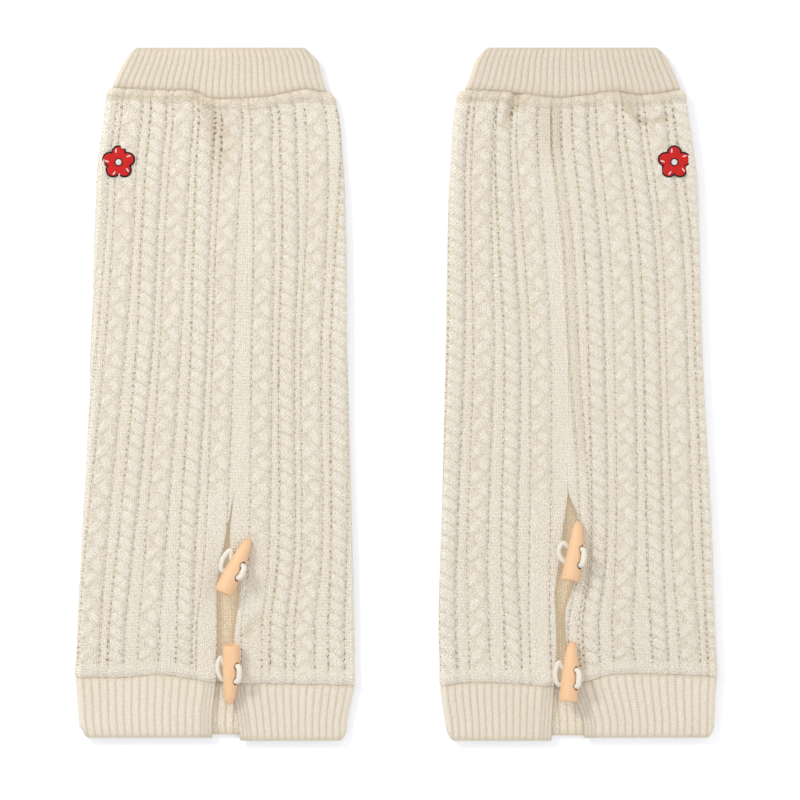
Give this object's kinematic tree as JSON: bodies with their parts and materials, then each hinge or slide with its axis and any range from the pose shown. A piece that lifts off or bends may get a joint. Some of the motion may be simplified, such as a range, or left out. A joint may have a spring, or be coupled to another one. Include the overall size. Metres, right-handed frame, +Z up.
{
  "type": "pair of cable-knit leg warmers laid flat",
  "caption": "Pair of flat-laid cable-knit leg warmers with ribbed top and hem, and horn-shaped toggles on cord loops over a front slit.",
  "frame": {"origin": "middle of the pair's box, on the surface that it lies on", "axes": "+X to the wearer's view right across the pair, +Y up the legs from hem to top, +Z up out of the surface, fronts up"},
  "size_m": [0.3892, 0.4196, 0.0179],
  "materials": {
    "cable_knit": "soft acrylic and wool knit, cream, matt with a light fuzz",
    "rib_knit": "fine rib knit, slightly warmer cream, matt",
    "toggle_wood": "smooth light wood-toned horn shape, satin",
    "loop_cord": "off-white braided cord, matt"
  },
  "bodies": {
    "root": {"left_leg_panel": "cable_knit", "right_leg_panel": "cable_knit", "left_top_band": "rib_knit", "right_top_band": "rib_knit", "left_hem_band": "rib_knit", "right_hem_band": "rib_knit", "left_toggle_upper": "toggle_wood", "left_toggle_lower": "toggle_wood", "right_toggle_upper": "toggle_wood", "right_toggle_lower": "toggle_wood", "left_loop_upper": "loop_cord", "left_loop_lower": "loop_cord", "right_loop_upper": "loop_cord", "right_loop_lower": "loop_cord"}
  },
  "joints": []
}
